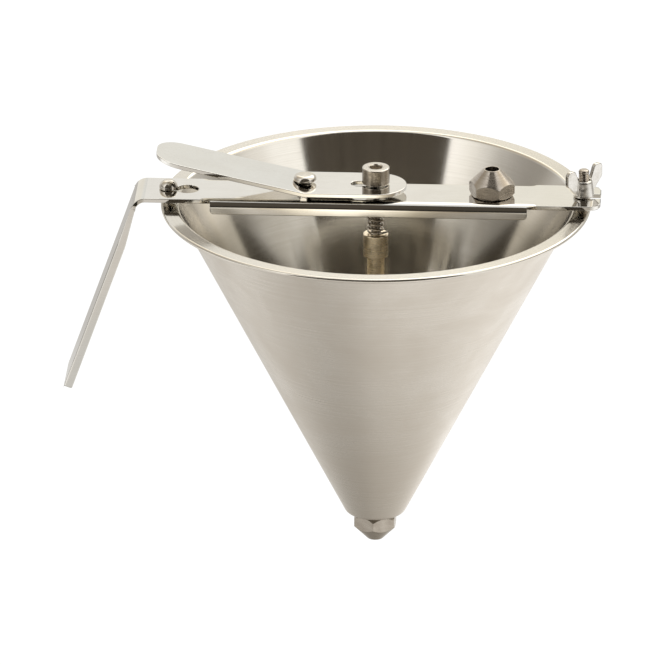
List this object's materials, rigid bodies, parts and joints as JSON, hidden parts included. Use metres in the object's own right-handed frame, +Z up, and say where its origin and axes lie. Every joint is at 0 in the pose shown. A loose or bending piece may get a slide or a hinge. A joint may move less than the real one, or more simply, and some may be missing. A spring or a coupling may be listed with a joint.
{
  "type": "fondant funnel",
  "caption": "Conical steel funnel with a crossbar, a side handle and a thumb lever that lifts a spring-loaded valve rod off the outlet nozzle.",
  "frame": {"origin": "centre of the rim's top plane, on the axis shared by the cone, the valve rod and the outlet", "axes": "+Z up out of the cone's mouth along the valve rod, +X along the crossbar away from the handle, +Y towards the far side of the rim"},
  "size_m": [0.2502, 0.2, 0.1937],
  "materials": {
    "satin_steel": "satin outside with lines from spinning, brighter inside",
    "polished_steel": "mirror polished",
    "turned_steel": "turned and lightly polished",
    "nozzle_steel": "satin, with brighter facets",
    "cast_steel": "cast and polished",
    "spring_steel": "drawn wire"
  },
  "bodies": {
    "funnel": {"cone_shell": "satin_steel", "outlet_spigot": "turned_steel", "crossbar": "polished_steel", "left_rim_stud": "turned_steel", "right_rim_stud": "turned_steel", "spare_nozzle_post": "turned_steel", "front_fulcrum_ridge": "turned_steel", "back_fulcrum_ridge": "turned_steel", "pivot_screw": "turned_steel", "pivot_nut": "turned_steel", "return_spring": "spring_steel"},
    "lever": {"thumb_lever": "polished_steel"},
    "valve": {"cap_screw": "turned_steel", "spring_collar": "turned_steel", "valve_rod": "turned_steel"},
    "wing_nut": {"wing_nut": "cast_steel"},
    "fitted_nozzle": {"fitted_nozzle": "nozzle_steel"},
    "spare_nozzle": {"spare_nozzle": "nozzle_steel"}
  },
  "joints": [
    {"name": "lever_rock", "type": "hinge", "parent": "funnel", "child": "lever", "pos_m": [-0.033, 0, 0.0065], "axis": [0, -1, 0], "range_deg": [0, 10.4]},
    {"name": "valve_lift", "type": "slide", "parent": "funnel", "child": "valve", "axis": [0, 0, 1], "range_m": [0, 0.00704], "stiffness_N_per_m": 200, "springref_m": -0.004, "deforming": ["return_spring"]},
    {"name": "wing_nut_turn", "type": "hinge", "parent": "funnel", "child": "wing_nut", "pos_m": [0.09665, 0, 0.0045], "axis": [0, 0, 1], "continuous": true},
    {"name": "fitted_nozzle_turn", "type": "hinge", "parent": "funnel", "child": "fitted_nozzle", "pos_m": [0, 0, -0.1575], "axis": [0, 0, 1], "continuous": true},
    {"name": "spare_nozzle_turn", "type": "hinge", "parent": "funnel", "child": "spare_nozzle", "pos_m": [0.054, 0, 0.0045], "axis": [0, 0, 1], "continuous": true}
  ],
  "couplings": [
    {"joint": "lever_rock", "follows": "valve_lift", "rad_per_m": 25.773}
  ]
}
